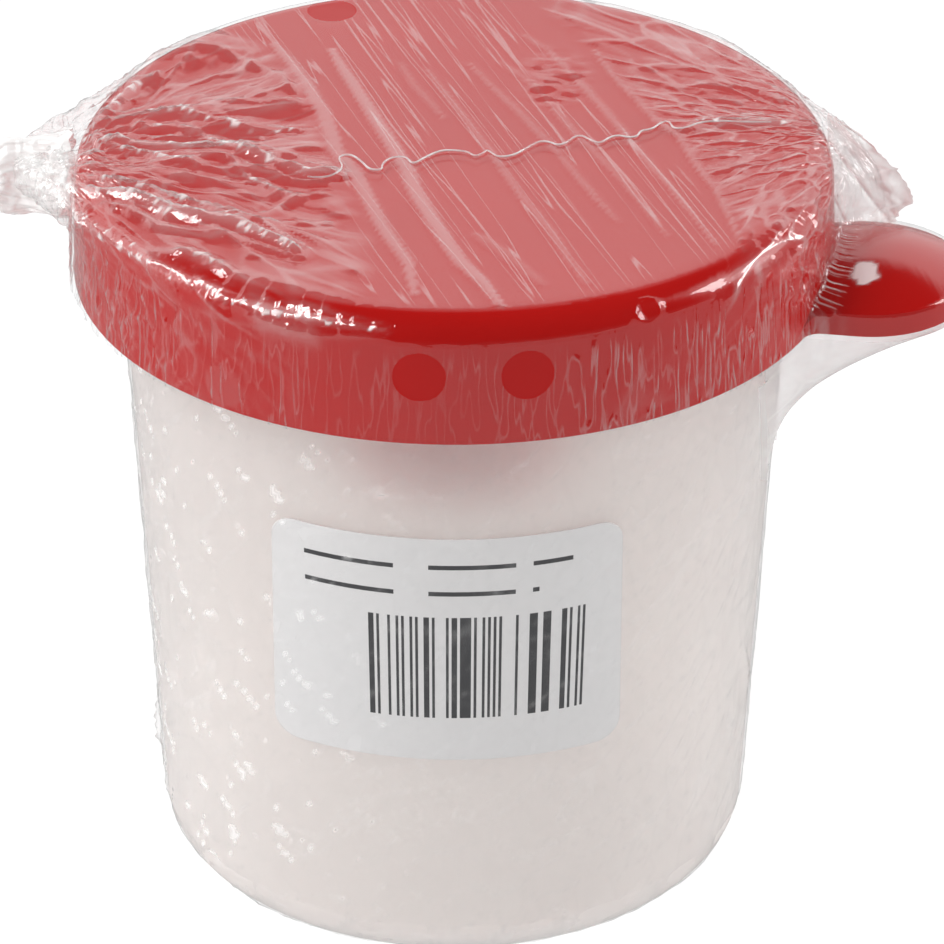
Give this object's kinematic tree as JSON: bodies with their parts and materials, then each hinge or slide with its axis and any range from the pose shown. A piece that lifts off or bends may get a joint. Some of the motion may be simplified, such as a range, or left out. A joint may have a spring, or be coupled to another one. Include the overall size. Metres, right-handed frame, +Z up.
{
  "type": "non-spill paint cup with lid",
  "caption": "Milky tapered paint cup with a funnel-shaped spill guard and an airtight press-on lid with a thumb tab, wrapped in clear shrink film.",
  "frame": {"origin": "centre of the cup's base face, on the cup's axis, on the surface the pot stands on", "axes": "+Z up along the cup's axis, +X towards the lid's thumb tab, so the label faces about -Y"},
  "size_m": [0.1066, 0.083, 0.0847],
  "materials": {
    "milky_plastic": "satin milky polypropylene, see-through",
    "red_plastic": "glossy moulded",
    "sticker": "satin white sticker",
    "shrink_film": "clear glossy film, wrinkled"
  },
  "bodies": {
    "cup": {"cup": "milky_plastic", "label": "sticker", "wrap_cup": "shrink_film", "wrap_tent": "shrink_film"},
    "spill_guard": {"spill_guard": "red_plastic"},
    "lid": {"lid": "red_plastic", "wrap_lid": "shrink_film", "wrap_gather_left": "shrink_film", "wrap_gather_right": "shrink_film", "wrap_seam": "shrink_film"}
  },
  "joints": [
    {"name": "guard_lift", "type": "slide", "parent": "cup", "child": "spill_guard", "axis": [0, 0, 1], "range_m": [0, 0.045]},
    {"name": "lid_lift", "type": "slide", "parent": "spill_guard", "child": "lid", "axis": [0, 0, 1], "range_m": [0, 0.04]}
  ]
}
